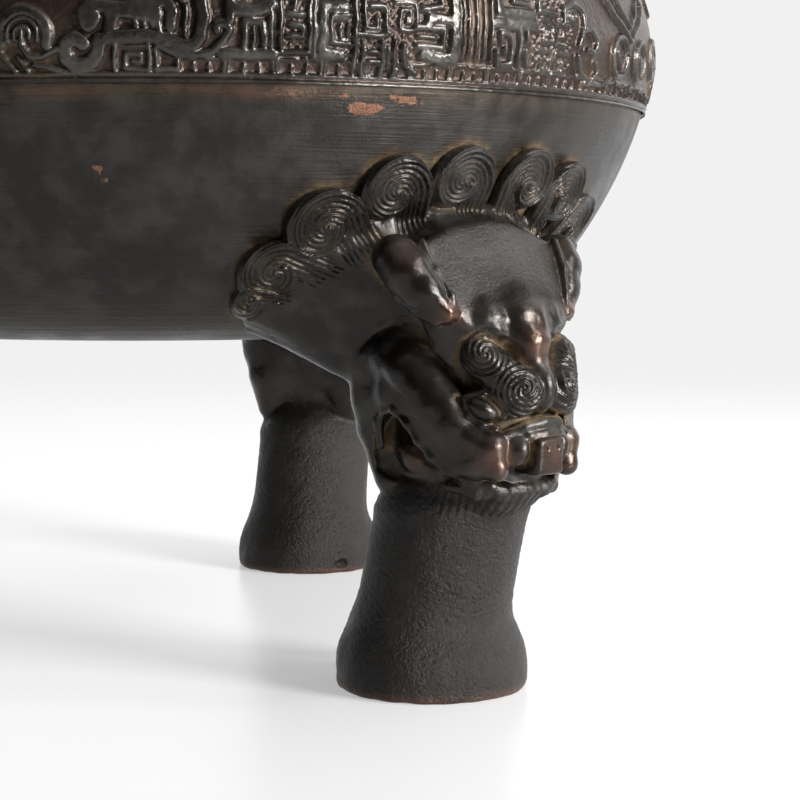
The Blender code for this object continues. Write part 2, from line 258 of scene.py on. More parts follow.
# The ear is a long lobe in a leaf-shaped frame with a thin rim.
EAR = [(136.2, 29.0, 117.6, 5.9), (139.4, 28.0, 113.6, 5.9), (142.8, 25.8, 108.6, 5.1),
       (146.0, 23.2, 104.4, 3.7)]
EAR_TIP, EAR_TIP_R = (147.9, 21.9, 102.6), 3.0
EAR_RIM_BACK = [(133.0, 29.5, 113.0, 1.1), (137.5, 29.6, 107.5, 1.1), (142.6, 27.2, 103.2, 1.1),
                (147.0, 24.4, 100.6, 1.1)]
EAR_RIM_FRONT = [(140.8, 24.2, 121.0, 1.2), (145.0, 22.9, 113.6, 1.1), (148.6, 21.0, 107.0, 1.0),
                 (150.2, 20.2, 102.0, 1.0)]
# The brow is an S-shaped plate with a spiral at each end.
BROW_OUT, BROW_IN = (151.9, 14.0, 92.0, 5.2), (158.5, 6.8, 82.4, 6.2)
SPIRAL_OUT, SPIRAL_IN = (156.6, 16.6, 93.2), (163.6, 9.4, 84.0)
FACING = np.array((0.77, 0.63, 0.08))           # the way the brow and eye face, on one side
RIGHTWARD = np.array((0.63, -0.77, 0.0))
EYE, EYE_RADII = (153.7, 15.3, 79.3), (5.0, 2.9, 3.3)
EYE_TILT = 30               # degrees down towards the nose
# Lids, as (along the eye, across it, radius).
LIDS = ([(-5.6, 0.2, 0.9), (-2.2, 3.4, 0.9), (2.4, 3.6, 0.9), (6.0, 0.9, 0.8)],
        [(-5.6, 0.2, 0.9), (-2.6, -3.3, 0.9), (2.0, -3.7, 0.9), (6.0, -2.2, 0.8)])
# The forehead leans back from its hairline (out, up) by an angle, given as its sine and cosine.
HAIRLINE = (141.5, 121.5)
LEAN_SINE, LEAN_COSINE = 0.468, 0.884


def add_skull(clay):
    """Skull, forehead, the bosses over the brows, and the muzzle behind the nose."""
    clay.ball((128, 0, 86), (22, 25, 30), 6)
    clay.ball((130, 0, 111), (14, 26, 20), 6)
    clay.ball((142, 0, 99), (12, 18, 12), 5)
    # forehead: a slab that leans back, wider at the hair
    at = clay.near([(144, 0, 111, 30)], 4)
    q = clay.p[at]
    out, up = q[:, 0] - HAIRLINE[0], q[:, 2] - HAIRLINE[1]
    down = out * LEAN_SINE - up * LEAN_COSINE
    proud = out * LEAN_COSINE + up * LEAN_SINE + 0.0035 * q[:, 1] ** 2 - 0.6
    half = 24.0 - 3.2 * ramp(down, 0, 22) - 6 * ramp(down, 20, 30)
    hair = -down - 4.5 * (1 - (q[:, 1] / 24) ** 2)
    slab = overlap(overlap(q[:, 1] - half, proud, 2.5), overlap(hair, down - 26, 1), 2.0)
    slab = np.maximum(slab, -proud - 10)
    clay.put(at, slab.astype(np.float32), 5.0, False)
    # bosses over the brows
    clay.ball((152.0, 0, 100.0), (7.0, 8.0, 9.0), 3.5)
    clay.ball((155.2, 0.6, 95.8), (5.8, 5.4, 5.4), 2.0)
    clay.ball((149.6, 10.2, 100.8), (5.6, 5.2, 5.6), 2.6)
    # muzzle behind the nose, bridge
    clay.ball((146, 0, 75), (11, 15, 12), 3)
    clay.ball((145.5, 0, 63.5), (10, 13, 9), 3)
    clay.ball((157.6, 0, 83.2), (6.6, 4.4, 7.0), 1.5)
    clay.ball((155.0, 0, 89.5), (5.5, 6.0, 5.5), 2.5)


def add_cheek(clay):
    """Cheek, back of the jaw and chin."""
    clay.rods(CHEEK_TOP, 2.0, 2.5)
    clay.rods(CHEEK_LOW, 2.5, 2.5)
    for ends in zip(CHEEK_TOP, CHEEK_LOW):
        clay.rods([(*end[:3], end[3] * CHEEK_FILL) for end in ends], 3.0)
    clay.rods(CORNER, 1.2, 2.0)
    clay.rods(JAW_BACK, 4)
    clay.ball((133.5, 0, 58), (16.5, 17.5, 9), 4)
    clay.ball((146.0, 0, 56.5), (8.4, 12.5, 7.0), 3)


def add_mouth(clay):
    """The open corner of the mouth, what fills it and the lips."""
    at = clay.near([(133, 22, 68, 16)], 2)
    q = clay.p[at]
    lips = outline(q[:, 0], q[:, 2], MOUTH) - 0.6
    floor = MOUTH_FLOOR + 0.14 * np.abs(q[:, 0] - 131) - q[:, 1]
    clay.put(at, overlap(lips, floor, 1.0).astype(np.float32), 0.8, True)
    clay.rods(IN_MOUTH, 1.2, 2)
    clay.rods(LIP_LINE, 0.7, 1.5)
    clay.rods(LOWER_LIP, 1.0, 1.5)


def add_nose(clay):
    """Nose pad, its wings and nostrils, and the folds over it."""
    clay.ball((151.5, 0, 68.0), (6.5, 10.0, 7.5), 1.0)
    clay.ball((156.6, 7.2, 68.4), (5.9, 3.7, 4.7), 0.5)
    at = clay.near([(*NOSE, 7)], 2)
    away = np.abs(clay.p[at] - np.array(NOSE, np.float32)) - np.array(NOSE_HALF, np.float32)
    pad = np.linalg.norm(np.maximum(away, 0), axis=1) + np.minimum(away.max(1), 0) - 1.1
    clay.put(at, pad, 0.4, False)
    clay.ball((163.8, 1.9, 68.2), (0.8, 0.6, 0.5), 0.4, True)
    clay.rods(FOLD_TOP, 0.7, 1.5)
    clay.rods(FOLD_LOW, 0.6, 1.5)


def eye_ways():
    """The eye's long and short ways, tilted down towards the nose."""
    angle = math.radians(EYE_TILT)
    upward = np.array((-FACING[2] * FACING[0], -FACING[2] * FACING[1], 1.0))
    long_way = math.cos(angle) * RIGHTWARD - math.sin(angle) * upward
    short_way = math.sin(angle) * RIGHTWARD + math.cos(angle) * upward
    return long_way, short_way


def add_brow_and_eye(clay):
    """Brow plate, lids and eyeball."""
    clay.rods([BROW_OUT, BROW_IN], 0.6)
    long_way, short_way = eye_ways()
    for lid in LIDS:
        clay.rods([(*(np.array(EYE) + x * long_way + y * short_way), r) for x, y, r in lid], 0.5, 1.0)
    at = clay.near([(*EYE, 7)], 2)
    rest = clay.p[at] - np.array(EYE, np.float32)
    own = np.stack([rest @ long_way, rest @ short_way, rest @ FACING], 1)
    clay.put(at, ball(own, (0, 0, 0), EYE_RADII).astype(np.float32), 0.4, False)


def add_ear(clay):
    clay.rods(EAR, 1.2, 2)
    clay.ball(EAR_TIP, (EAR_TIP_R,) * 3, 0.8)
    clay.rods(EAR_RIM_BACK, 0.8, 1)
    clay.rods(EAR_RIM_FRONT, 0.8, 1)


# Curls of the mane: (degrees round the bowl, height, share of full size, degrees the tail turns forward)
CURLS = [(5.2, 136.2, 1.03, -4), (13.5, 133.2, 1.04, 4), (20.8, 124.2, 1.1, 30), (25.8, 112.6, 0.94, 66),
         (28.0, 105.4, 0.5, 78)]
MANE_TURN = 2.2             # degrees the mane is turned to the right of the mask
CURL_EDGE = ([0, 90, 180, 225, 270, 315, 360], [1.0, 1.0, 0.93, 0.80, 0.60, 0.50, 0.44])
CURL_HIGH = 3.7             # how far a curl stands off the bowl
CURL_ROUND = 1.7            # how far in from its edge it reaches that height


def swell(inside):
    """Height of a curl's rounded back, that far inside its edge."""
    return CURL_HIGH * np.sqrt(1 - np.clip(1 - inside / CURL_ROUND, 0, 1) ** 2)


def curl(across, up, radius, turn):
    """(height, groove) of a curl whose hairs rise on the right and roll over to the left."""
    c, s = math.cos(math.radians(turn)), math.sin(math.radians(turn))
    u, v = c * across + s * up, -s * across + c * up
    r = np.hypot(u, v)
    angle = np.degrees(np.arctan2(v, u)) % 360
    edge = radius * np.interp(angle, *CURL_EDGE)
    inside = edge - r
    disc = swell(inside) * (inside > 0)
    disc -= 0.9 * (inside > 0) * ramp(inside, 1.4, 4.5) * ramp(r, 0, 2.2)
    arms = r / STRAND + 5 * angle / 360
    tail_in = radius - u
    tail = swell(tail_in) - 0.9 * ramp(tail_in, 1.4, 4.5)
    tail *= (tail_in > 0) * (v < 0) * ramp(u, 0, 2.0) * ramp(-v, 2.5 * radius, 0.9 * radius)
    disc += 0.5 * (inside > 0) * ramp(r, 0.5 * radius, 0.3 * radius)
    on_disc = disc > tail
    lines = 0.5 + 0.5 * np.cos(2 * math.pi * np.where(on_disc, arms, u / STRAND))
    height = np.maximum(disc, tail)
    return height, lines * ramp(height, 1.2, 2.4)


def mane_height(p):
    """(height, groove) of curls over the bowl at points p."""
    angle = np.degrees(np.arctan2(p[:, 1], p[:, 0])) - MANE_TURN
    z = p[:, 2]
    best, groove = np.zeros(len(p)), np.zeros(len(p))
    for side in (-1, 1):
        for place, up, size, turn in CURLS:
            across = np.radians(angle - side * place) * bowl_radius(z) * -side
            h, g = curl(across, (z - up) * 1.08, size * CURL_R, turn)
            groove = np.where(h > best, g, groove)
            best = np.maximum(best, h)
    return best, groove


def lines_at(x, pitch):
    """Engraved lines across x: 1 at the bottom of a line, 0 between."""
    return 0.5 + 0.5 * np.cos(2 * math.pi * x / pitch)


def leg_forms(points):
    """Distances of points from the leg, before the bowl's room is taken from it."""
    wander = np.stack([waves(points, 26, s) for s in (1, 2, 3)], 1) * np.float32(0.45)
    bent = points + wander * (0.3 + 0.7 * ramp(points[:, 2], 45, 60))[:, None].astype(np.float32)
    folded = np.stack([bent[:, 0], np.sqrt(bent[:, 1] ** 2 + 0.05), bent[:, 2]], 1)
    clay = Clay(folded)
    for add in (add_skull, add_cheek, add_mouth, add_nose, add_brow_and_eye, add_ear, add_hair):
        add(clay)
    d = clay.d
    d = merge(d, shank(points), 2.2)
    d = carve(d, ball(points, FOOT_CHIP, (2.6, 3.0, 1.7)), 0.6)
    # curls, as a raised skin over the bowl
    off = off_bowl(points)
    at = np.flatnonzero((off < 8) & (points[:, 2] > 98))
    height, groove = mane_height(points[at])
    d[at] = merge(d[at], ((off[at] - height) * 0.8).astype(np.float32), 0.7)
    d[at] += (0.6 * groove * ramp(height, 1.0, 2.2) * ramp(off[at], 7.0, 4.0)).astype(np.float32)
    return d, off


def add_hair(clay):
    """Hair that runs from the curls down to the forehead and the ears, and the web under the bowl."""
    roots = [(0.0, 129.0), (6.0, 128.0), (13.0, 126.0), (20.0, 118.0), (25.0, 110.0), (26.6, 104.5),
             (24.5, 99.0)]
    ends = [(132, 3, 117), (131, 12, 117), (128, 19, 112), (123, 22, 105), (118, 21.5, 97), (115.5, 20, 92),
            (114.5, 18, 88)]
    slim = np.linspace(3.4, 2.0, len(roots))
    fat = np.linspace(7.5, 5.0, len(roots))
    steps = 3
    for part in range((len(roots) - 1) * steps + 1):
        share = part / steps
        place, up = [np.interp(share, range(len(roots)), [r[i] for r in roots]) for i in (0, 1)]
        end = [np.interp(share, range(len(ends)), [e[i] for e in ends]) for i in range(3)]
        radius = float(bowl_radius(np.array(up)))
        turn = math.radians(place)
        root = (radius * math.cos(turn), radius * math.sin(turn), up)
        thin, thick = (float(np.interp(share, range(len(roots)), s)) for s in (slim, fat))
        clay.rods([(*root, thin), (*end, thick)], 2.5)


CHIN_R = 22                 # from the shank's middle to the chin hair


def relief(points, d):
    """Depths engraved near the surface: brow spirals, chin hair, hammering, cast grain."""
    at = np.flatnonzero(np.abs(d) < 3.0)
    p = points[at]
    fold = np.stack([p[:, 0], np.abs(p[:, 1]), p[:, 2]], 1)
    cut = np.zeros(len(at), np.float32)
    # brow: hair lines that wind round both spirals, which turn opposite ways
    rest = fold - np.array(SPIRAL_OUT, np.float32)
    x1, y1, w1 = rest @ RIGHTWARD, rest[:, 2], rest @ FACING
    rest = fold - np.array(SPIRAL_IN, np.float32)
    x2, y2 = rest @ RIGHTWARD, rest[:, 2]
    r1, r2 = np.hypot(x1, y1), np.hypot(x2, y2)
    brow = ramp(np.minimum(r1 / 6.6, r2 / 8.2), 1.0, 0.9) * ramp(np.abs(w1 - 2.5), 8.0, 6.0)
    arms1 = r1 / 1.4 + 3 * np.arctan2(y1, x1) / (2 * math.pi)
    arms2 = r2 / 1.4 - 3 * np.arctan2(y2, x2) / (2 * math.pi)
    cut += 0.6 * brow * lines_at(np.where(r1 / 6.0 < r2 / 7.6, arms1, arms2), 1.0)
    # chin hair: short upright locks
    round_shank = np.arctan2(fold[:, 1], p[:, 0] - shank_axis(p[:, 2])) * CHIN_R
    chin = (ramp(p[:, 2], 48.5, 50.5) * ramp(p[:, 2], 58.5, 57)
            * ramp(fold[:, 1], 19, 16) * ramp(p[:, 0], 134, 138))
    cut += 0.32 * chin * lines_at(round_shank, 2.3) ** 1.5
    # hammered brow and nose, rough cheek edge, cast grain everywhere, strongest on the shank
    knocks = waves(p, 5.5, 11) + 0.6 * waves(p, 3.4, 12)
    hammered = np.exp(-((p[:, 2] - 98) / 10) ** 2) * ramp(fold[:, 1], 22, 16) * ramp(p[:, 0], 140, 148)
    cut += 0.13 * hammered * knocks
    grain = waves(p, 2.1, 21) * 0.6 + waves(p, 1.5, 22) * 0.5
    shank_only = ramp(p[:, 2], 56, 50) * ramp(p[:, 2], 6, 16)
    cut += (0.05 + 0.06 * shank_only) * grain
    cut += (0.12 * waves(p, 9, 31)) * (1 - 0.6 * shank_only)
    d[at] += cut
    return d


def leg_field(points):
    """Distances of points from the whole leg, which stops at the floor and GAP short of the bowl."""
    d, off = leg_forms(points)
    d = relief(points, d)
    d = np.maximum(d, GAP - off)
    return np.maximum(d, -points[:, 2])


def sampled(field, low, high, cell):
    """The field on a grid of cells: in full near its surface, further off only its sign."""
    block = 4
    count = (np.ceil((high - low) / (cell * block)).astype(int) + 1)
    middle = [low[k] + (np.arange(count[k]) * block + (block - 1) / 2) * cell for k in range(3)]
    coarse_points = np.stack(np.meshgrid(*middle, indexing="ij"), -1).reshape(-1, 3).astype(np.float32)
    coarse = in_slices(field, coarse_points).reshape(count)
    values = (np.sign(coarse) * 9).astype(np.float32)
    for axis in range(3):
        values = np.repeat(values, block, axis)
    blocks = np.argwhere(np.abs(coarse) < cell * block * 0.87 + 1.3)
    offsets = np.stack(np.meshgrid(*[np.arange(block)] * 3, indexing="ij"), -1).reshape(-1, 3)
    index = (blocks[:, None, :] * block + offsets[None]).reshape(-1, 3)
    values[tuple(index.T)] = in_slices(field, (low + index * cell).astype(np.float32))
    return values


def skin_of(field, low, high, cell):
    """Corners and four-sided faces of the surface where a field is 0, on a grid of cells."""
    values = sampled(field, low, high, cell)
    inside = values < 0
    corners = np.stack(np.meshgrid([0, 1], [0, 1], [0, 1], indexing="ij"), -1).reshape(-1, 3)
    cells = tuple(n - 1 for n in values.shape)
    total = np.zeros(cells, np.uint8)
    for i, j, k in corners:
        total += inside[i:i + cells[0], j:j + cells[1], k:k + cells[2]]
    active = np.argwhere((total > 0) & (total < 8))
    number = np.full(cells, -1, np.int32)
    number[tuple(active.T)] = np.arange(len(active))
    held = np.stack([values[tuple((active + c).T)] for c in corners], 1)
    place, hits = np.zeros((len(active), 3)), np.zeros(len(active))
    for a in range(8):
        for b in range(a + 1, 8):
            if np.abs(corners[a] - corners[b]).sum() != 1:
                continue
            crosses = (held[:, a] < 0) != (held[:, b] < 0)
            t = np.where(crosses, held[:, a] / np.where(crosses, held[:, a] - held[:, b], 1), 0)[:, None]
            place += crosses[:, None] * (corners[a] + t * (corners[b] - corners[a]))
            hits += crosses
    return low + (active + place / hits[:, None]) * cell, skin_faces(inside, number)


def skin_faces(inside, number):
    """A face for each grid line that leaves the form, between the four numbered cells round it."""
    cells = number.shape
    faces = []
    for axis in range(3):
        u, v = [k for k in range(3) if k != axis]
        here = [slice(None)] * 3
        there = [slice(None)] * 3
        here[axis], there[axis] = slice(None, -1), slice(1, None)
        crossing = np.argwhere(inside[tuple(here)] != inside[tuple(there)])
        crossing = crossing[(crossing[:, u] > 0) & (crossing[:, v] > 0)]
        crossing = crossing[(crossing[:, u] < cells[u]) & (crossing[:, v] < cells[v])]
        ring = []
        for du, dv in ((1, 1), (0, 1), (0, 0), (1, 0)):
            at = crossing.copy()
            at[:, u] -= du
            at[:, v] -= dv
            ring.append(number[tuple(at.T)])
        ring = np.stack(ring, 1)
        flip = inside[tuple(crossing.T)] == (axis == 1)
        ring[flip] = ring[flip][:, ::-1]
        faces.append(ring)
    faces = np.concatenate(faces)
    return faces[(faces >= 0).all(1)]


def in_slices(field, points, size=400000):
    """A field's values at many points, worked out a slice at a time."""
    return np.concatenate([field(points[i:i + size]) for i in range(0, len(points), size)])


def mesh_of(name, corners, faces):
    """A smooth-shaded mesh of four-sided faces."""
    mesh = bpy.data.meshes.new(name)
    mesh.vertices.add(len(corners))
    mesh.vertices.foreach_set("co", np.ascontiguousarray(corners, np.float32).ravel())
    sides = faces.shape[1]
    mesh.loops.add(faces.size)
    mesh.loops.foreach_set("vertex_index", np.ascontiguousarray(faces, np.int32).ravel())
    mesh.polygons.add(len(faces))
    mesh.polygons.foreach_set("loop_start", np.arange(0, faces.size, sides, dtype=np.int32))
    mesh.update(calc_edges=True)
    mesh.shade_smooth()
    return mesh


def thinned(mesh, triangles):
    """The mesh with its flat stretches thinned to a number of triangles."""
    made = bpy.data.objects.new(mesh.name, mesh)
    bpy.context.scene.collection.objects.link(made)
    thin = made.modifiers.new("thin", "DECIMATE")
    thin.ratio = min(1.0, triangles / (2 * len(mesh.polygons)))
    bpy.context.view_layer.update()
    slim = bpy.data.meshes.new_from_object(made.evaluated_get(bpy.context.evaluated_depsgraph_get()))
    bpy.data.objects.remove(made)
    bpy.data.meshes.remove(mesh)
    # the few faces that thinning leaves unsound go, before several pieces share the mesh
    slim.validate()
    slim.shade_smooth()
    return slim


def spots(points, places):
    """How near points are to worn or dirty places, given as (out, side, up, radius, share)."""
    total = np.zeros(len(points))
    for out, side, up, radius, share in places:
        far = np.linalg.norm(points - np.array((out, side, up)), axis=1)
        total = np.maximum(total, share * np.exp(-(far / radius) ** 2))
    return total


WORN = [(161, 0, 96, 5.0, 1.0), (151, 23, 102.5, 3.6, 1.0), (157.5, 14, 66.5, 4.5, 0.9),
        (160, 11, 63, 3.0, 0.9),
        (164, 0, 66, 4.6, 0.8), (158, 18, 93, 3, 0.5), (141, 30, 117, 5, 0.35), (133, 19, 66, 5, 0.6)]


def write_tint(mesh, ochre, worn, rough):
    """Shares of residue, wear and roughness for each corner, for the material to read."""
    tint = mesh.attributes.new("tint", "FLOAT_COLOR", "POINT")
    data = np.stack([ochre, worn, rough, np.ones(len(ochre))], 1).astype(np.float32)
    tint.data.foreach_set("color", np.clip(data, 0, 1).ravel())


def read(mesh, what):
    """Each corner's place, as "co", or the way it faces, as "normal"."""
    flat = np.zeros(len(mesh.vertices) * 3, np.float32)
    mesh.vertices.foreach_get(what, flat)
    return flat.reshape(-1, 3)


def make_leg():
    """The front leg's mesh, in metres in the part's frame but about the bowl's axis."""
    low, high = np.array((84.0, -64.0, -1.2)), np.array((170.0, 64.0, 151.0))
    place, faces = skin_of(leg_field, low, high, CELL)
    mesh = thinned(mesh_of("leg_bronze_mesh", place, faces), LEG_TRIANGLES)
    p, n = read(mesh, "co"), read(mesh, "normal")
    hollow_near = 0.9 - in_slices(leg_field, p + 0.9 * n)
    hollow_wide = 3.0 - in_slices(leg_field, p + 3.0 * n)
    ochre = np.clip(0.7 * ramp(hollow_near, 0.45, 1.0) + 0.85 * ramp(hollow_wide, 0.8, 2.2), 0, 1)
    zone = 0.35 + 0.65 * ramp(p[:, 2], 56, 66)
    mane = ramp(off_bowl(p), 7.0, 4.5) * ramp(p[:, 2], 98, 104)
    forehead = ramp(p[:, 0], 136, 141) * ramp(p[:, 2], 103, 107) * ramp(np.abs(p[:, 1]), 22, 19)
    fold = np.stack([p[:, 0], np.abs(p[:, 1]), p[:, 2]], 1)
    worn = np.maximum(spots(fold, WORN), 0.8 * ramp(p[:, 2], 3.2, 0.6))
    rough = np.maximum(ramp(p[:, 2], 60, 52), 0.55 * forehead)
    write_tint(mesh, ochre * zone * (1 - 0.6 * mane), worn, rough)
    part = np.stack([p[:, 1], -p[:, 0], p[:, 2]], 1) * 0.001
    mesh.vertices.foreach_set("co", part.astype(np.float32).ravel())
    mesh.update()
    return mesh


# Bowl, in millimetres: (radius, height) stations of what isn't the belly or the band
NECK_R, LIP_R, WALL = 127.0, 141.0, 5.5
NECK_UP = BAND_HIGH + 0.42 * (LIP_TOP - BAND_HIGH)
SHOULDER_R = (NECK_R + BOWL_R) / 2


# marks on the plain belly: (degrees round from the front leg, height, half width, half height, share)
PEELED = [(-16.6, 154.2, 2.4, 1.9, 1.0), (-12.2, 156.6, 2.2, 1.2, 1.0), (-19.0, 157.2, 2.0, 0.8, 0.7),
          (-43.2, 139.2, 0.7, 1.3, 1.0), (-42.6, 136.4, 0.6, 1.0, 0.9), (-24.0, 157.4, 2.6, 0.8, 0.65)]
REDDENED = [(-26.0, 157.6, 4.5, 1.3, 1.0), (-34.0, 157.9, 3.0, 1.0, 0.6), (-46.0, 157.4, 4.0, 1.6, 0.5),
            (70.0, 157.0, 9.0, 1.6, 0.6), (160.0, 157.0, 12.0, 1.4, 0.6)]


def smooth_path(corners, step):
    """Points about a step apart on a curve through corners, which are rounded where they turn."""
    c = np.array(corners, float)
    for _ in range(3):
        inner = np.stack([0.75 * c[:-1] + 0.25 * c[1:], 0.25 * c[:-1] + 0.75 * c[1:]], 1).reshape(-1, 2)
        c = np.concatenate([c[:1], inner[1:-1], c[-1:]])
    lengths = np.concatenate([[0], np.cumsum(np.linalg.norm(np.diff(c, axis=0), axis=1))])
    at = np.linspace(0, lengths[-1], max(2, int(lengths[-1] / step)))
    return np.stack([np.interp(at, lengths, c[:, k]) for k in (0, 1)], 1)


def grid_faces(n, m, closed):
    """Four-sided faces of a grid of n rows by m corners, whose rows may close on themselves."""
    i, j = np.meshgrid(np.arange(n - 1), np.arange(m if closed else m - 1), indexing="ij")
    k = (j + 1) % m
    return np.stack([i * m + j, (i + 1) * m + j, (i + 1) * m + k, i * m + k], -1).reshape(-1, 4)


def turned_grid(name, profile, count):
    """A mesh of a profile carried round the bowl's axis in a number of steps."""
    turns = np.linspace(0, 2 * math.pi, count, endpoint=False)
    r, z = profile[:, 0][:, None], profile[:, 1][:, None]
    out, side = r * np.cos(turns), r * np.sin(turns)
    corners = np.stack([side, -out, np.broadcast_to(z, out.shape)], -1).reshape(-1, 3) * 0.001
    return mesh_of(name, corners, grid_faces(len(profile), count, True))


def make_belly():
    """The plain outside below the band, with the flat underside."""
    side = BELLY[(BELLY[:, 1] < BAND_LOW + 0.6)]
    radii = bowl_radius(side[:, 1])
    side = smooth_path(np.stack([radii, side[:, 1]], 1)[::6], 1.25)
    side = np.concatenate([[(bowl_radius(np.array(BAND_LOW + 1.2)) - 0.4, BAND_LOW + 1.2)], side[::-1],
                           [(60.0, UNDERSIDE), (20.0, UNDERSIDE), (0.4, UNDERSIDE)]])
    mesh = turned_grid("belly_bronze_mesh", side, 620)
    p = read(mesh, "co") * 1000
    own = np.stack([-p[:, 1], p[:, 0], p[:, 2]], 1)
    turn = np.radians((np.degrees(np.arctan2(own[:, 1], own[:, 0])) + 60) % 120 - 60)
    # residue lies close round the curls and thins out above them
    halo = np.zeros(len(p))
    for side_sign in (-1, 1):
        for place, up, size, _ in CURLS:
            far = np.hypot((np.degrees(turn) - MANE_TURN - side_sign * place) * 2.4, (own[:, 2] - up) * 1.08)
            halo = np.maximum(halo, ramp(far, size * CURL_R + 3.2, size * CURL_R - 0.5))
    under_band = ramp(own[:, 2], BAND_LOW - 6, BAND_LOW - 1)
    turned_to = np.degrees(np.arctan2(own[:, 1], own[:, 0]))
    peeled, red = np.zeros(len(p)), np.zeros(len(p))
    for total, marks in ((peeled, PEELED), (red, REDDENED)):
        for place, up, wide, high, share in marks:
            far = np.hypot((turned_to - place) / wide, (own[:, 2] - up) / high)
            total[:] = np.maximum(total, share * np.exp(-far ** 2))
    write_tint(mesh, np.maximum(0.7 * halo, 0.22 * under_band), red, peeled)
    return mesh


def make_rim():
    """Shoulder, neck, lip and the hollow inside, down to its floor."""
    top, thick = LIP_TOP, 1.15 * WALL
    outside = [(SHOULDER_R + BAND_STEP, BAND_HIGH), (SHOULDER_R, BAND_HIGH + 1.2),
               (SHOULDER_R - 4, BAND_HIGH + 3),
               (NECK_R, NECK_UP - 5), (NECK_R, NECK_UP), (NECK_R, NECK_UP + 3),
               (NECK_R + 1, top - 1.6 * thick),
               (LIP_R - 3, top - 1.3 * thick), (LIP_R, top - 0.9 * thick), (LIP_R, top - 0.3 * thick),
               (LIP_R - 2, top), (LIP_R - 6, top)]
    wide = BOWL_R - WALL - BAND_STEP
    floor = UNDERSIDE + WALL
    inside = [(LIP_R - 6, top), (LIP_R - 10, top - 1), (NECK_R - WALL, NECK_UP + 8), (NECK_R - WALL, NECK_UP),
              (NECK_R - WALL, BAND_HIGH - 2), (wide - 8, WIDEST + 22), (wide, WIDEST + 10),
              (wide, WIDEST - 8),
              (wide - 4, 150), (wide - 16, 125), (wide - 30, 108), (100, floor), (60, floor), (0.4, floor)]
    profile = np.concatenate([smooth_path(outside, 2.0), smooth_path(inside, 5.0)[1:]])
    mesh = turned_grid("rim_bronze_mesh", profile, 240)
    flat = np.zeros(len(mesh.vertices))
    write_tint(mesh, flat + 0.1, flat, flat + 0.1)
    return mesh


# Frieze. Places are (mm round the ring from the leg's middle, mm above the floor).
RING = math.radians(1) * BOWL_R         # mm round the ring for each degree


def square_spiral(s, z, wide, high, turns, width=0.9, flip=1):
    """A thunder-pattern key that winds in from its upper left corner."""
    points, left, right, low, top = [], s - wide / 2, s + wide / 2, z - high / 2, z + high / 2
    step = 2.1 * width
    for _ in range(turns):
        points += [(left, top), (right, top), (right, low), (left + step, low), (left + step, top - step)]
        left, right, low, top = left + step, right - step, low + step, top - step
    return width, [(s + flip * (x - s), y) for x, y in points]


def round_spiral(s, z, radius, start, turns, width, inner=0.18):
    """A scroll that winds in from an angle in degrees, clockwise for turns below 0."""
    count = max(8, int(abs(turns) * 22))
    share = np.linspace(0, 1, count)
    angle = np.radians(start) + 2 * math.pi * turns * share
    r = radius * (1 - (1 - inner) * share)
    return width, [(s + a * math.cos(t), z + a * math.sin(t)) for a, t in zip(r, angle)]


def dragon():
    """The dragon left of the leg: hooked head, toothed body and a tail that rolls up under it."""
    return [
        (2.4, [(-113.2, 172.6), (-114, 175.6), (-111.8, 177.6), (-108.5, 177), (-107.4, 174.5),
               (-107.8, 171.6)]),
        (3.2, [(-112.6, 173.2), (-112, 174)]),
        (2.5, [(-110.7, 169.2), (-110.9, 166.1), (-112.9, 163.6), (-116.1, 163), (-118.9, 165),
               (-118.6, 168.2),
               (-116.1, 169.6), (-114.4, 168.2)]),
        (2.3, [(-111, 168.9), (-106.3, 170), (-99.7, 170.2), (-94.2, 169.5), (-90.9, 167.7), (-88.2, 167.8),
               (-86.2, 170.3), (-85.7, 175), (-86.2, 180), (-88.5, 186)]),
        (3, [(-107.4, 176.6), (-102, 175.8), (-97, 175)]),
        (1.6, [(-96.4, 175.6), (-96.2, 171.2)]),
        (1.1, [(-102, 174.2), (-101.6, 172.4)]), (1.1, [(-100, 174.2), (-99.6, 172.4)]),
        (1.1, [(-98.2, 174.4), (-97.8, 172.6)]),
        (2.2, [(-106.3, 180.4), (-101, 178.6), (-97.5, 177.4), (-94.6, 178.8), (-93.1, 176), (-93.3, 172.4)]),
        (1.1, [(-89.8, 177.5), (-89.8, 170.2)]), (1.8, [(-91.2, 186), (-90.6, 179.2)]),
        (1.7, [(-96.4, 168), (-92, 166.2), (-87.6, 165.5), (-83.8, 166.6), (-80.8, 168.8), (-79.4, 171.9),
               (-80.5, 173.4), (-82.7, 172.8), (-82.2, 171.4)])]


def left_scroll():
    """The large scroll at the left, and the hooked line that leaves it."""
    strokes = [round_spiral(-128.8, 170.3, r, 200, -0.62, w, inner) for r, w, inner in
               ((6.4, 2, 0.9), (4.4, 1, 0.8), (2.7, 1, 0.55))]
    return strokes + [(1.2, [(-129.3, 171.3), (-129.7, 168.2), (-127.7, 165.6), (-124.7, 165.1),
                             (-120.6, 167.3)]),
                      (1.1, [(-134.8, 166), (-131.5, 161.8)]), (1.1, [(-130.4, 165), (-128.2, 161.8)]),
                      (1.1, [(-126.6, 163.6), (-121.5, 162.4), (-117, 161.4)])]


